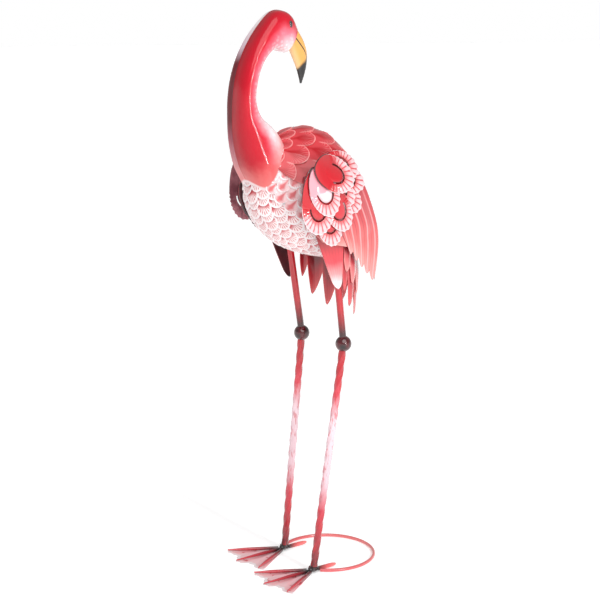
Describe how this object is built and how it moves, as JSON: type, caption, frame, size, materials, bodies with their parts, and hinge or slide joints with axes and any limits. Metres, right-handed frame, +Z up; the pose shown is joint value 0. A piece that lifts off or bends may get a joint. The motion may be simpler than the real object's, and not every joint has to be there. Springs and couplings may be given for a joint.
{
  "type": "garden flamingo figure",
  "caption": "Standing flamingo of painted sheet steel, neck curled back over a feathered body, layered wings, wire feet and a ground ring.",
  "frame": {"origin": "middle of the figure's footprint box on the ground", "axes": "+Z up, -Y the way the feet point, +X the bird's left side"},
  "size_m": [0.2456, 0.288, 1.0009],
  "materials": {
    "enamel_red": "gloss enamel",
    "enamel_rose": "gloss enamel",
    "enamel_pale": "gloss enamel",
    "enamel_ochre": "gloss enamel",
    "enamel_maroon": "gloss enamel",
    "enamel_salmon": "gloss enamel",
    "enamel_black_red": "gloss enamel"
  },
  "bodies": {
    "root": {"back_shell": "enamel_red", "beak": "enamel_ochre", "belly_shell": "enamel_pale", "flank_plate_left": "enamel_pale", "flank_plate_right": "enamel_pale", "foot_web_left": "enamel_rose", "foot_web_right": "enamel_rose", "ground_ring": "enamel_salmon", "knee_ball_left": "enamel_black_red", "knee_ball_right": "enamel_black_red", "lower_leg_left": "enamel_rose", "lower_leg_right": "enamel_rose", "neck_left_half": "enamel_red", "neck_right_half": "enamel_red", "tail_fan_inner": "enamel_maroon", "tail_fan_outer": "enamel_salmon", "thigh_feather_left": "enamel_rose", "thigh_feather_right": "enamel_rose", "toe_inner_left": "enamel_salmon", "toe_inner_right": "enamel_salmon", "toe_middle_and_heel_left": "enamel_salmon", "toe_middle_and_heel_right": "enamel_salmon", "toe_outer_left": "enamel_salmon", "toe_outer_right": "enamel_salmon", "upper_leg_left": "enamel_salmon", "upper_leg_right": "enamel_salmon", "wing_base_left": "enamel_salmon", "wing_base_right": "enamel_salmon", "wing_plate_front_1_left": "enamel_red", "wing_plate_front_1_right": "enamel_red", "wing_plate_front_2_left": "enamel_red", "wing_plate_front_2_right": "enamel_red", "wing_plate_front_3_left": "enamel_red", "wing_plate_front_3_right": "enamel_red", "wing_plate_middle_1_left": "enamel_red", "wing_plate_middle_1_right": "enamel_red", "wing_plate_middle_2_left": "enamel_red", "wing_plate_middle_2_right": "enamel_red", "wing_plate_middle_3_left": "enamel_red", "wing_plate_middle_3_right": "enamel_red", "wing_plate_middle_4_left": "enamel_red", "wing_plate_middle_4_right": "enamel_red", "wing_plate_rear_1_left": "enamel_red", "wing_plate_rear_1_right": "enamel_red", "wing_plate_rear_2_left": "enamel_red", "wing_plate_rear_2_right": "enamel_red"}
  },
  "joints": []
}
